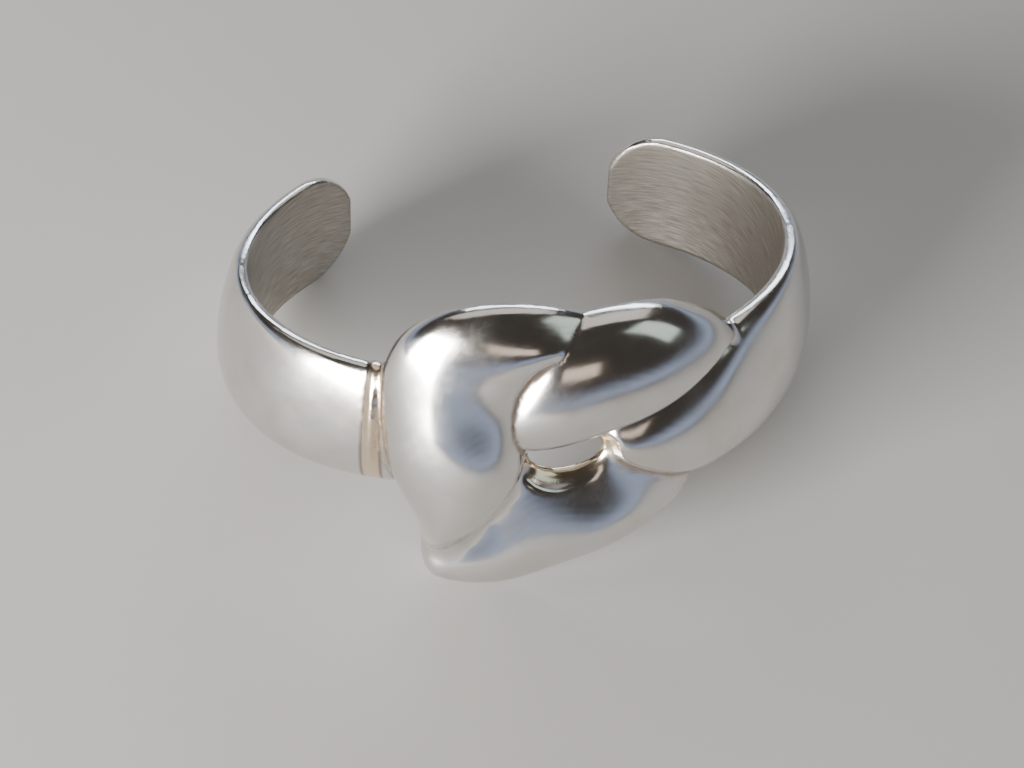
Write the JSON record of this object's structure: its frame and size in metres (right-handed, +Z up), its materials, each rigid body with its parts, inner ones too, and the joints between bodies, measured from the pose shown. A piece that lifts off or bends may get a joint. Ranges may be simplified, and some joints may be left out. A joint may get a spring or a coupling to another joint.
{
  "type": "knot cuff bracelet",
  "caption": "Open hollow-form metal cuff for the wrist, a domed band whose two arms join a raised knot of crossing lobes at the front.",
  "frame": {"origin": "middle of the bounding box at the surface that the cuff lies on, as it rests by itself on the knot's lowest corner and the lower edges of both arms", "axes": "+X to the right as the knot is looked at, along the cuff's width; +Y back from the knot towards the gap between the arms; +Z up. The axis of the wrist leans 18 degrees back from +Z"},
  "size_m": [0.0667, 0.0495, 0.0361],
  "materials": {
    "silver": "polished silver with fine scratches, darker in the recesses and brushed on the inner wall"
  },
  "bodies": {
    "root": {"knot_cuff": "silver"}
  },
  "joints": []
}
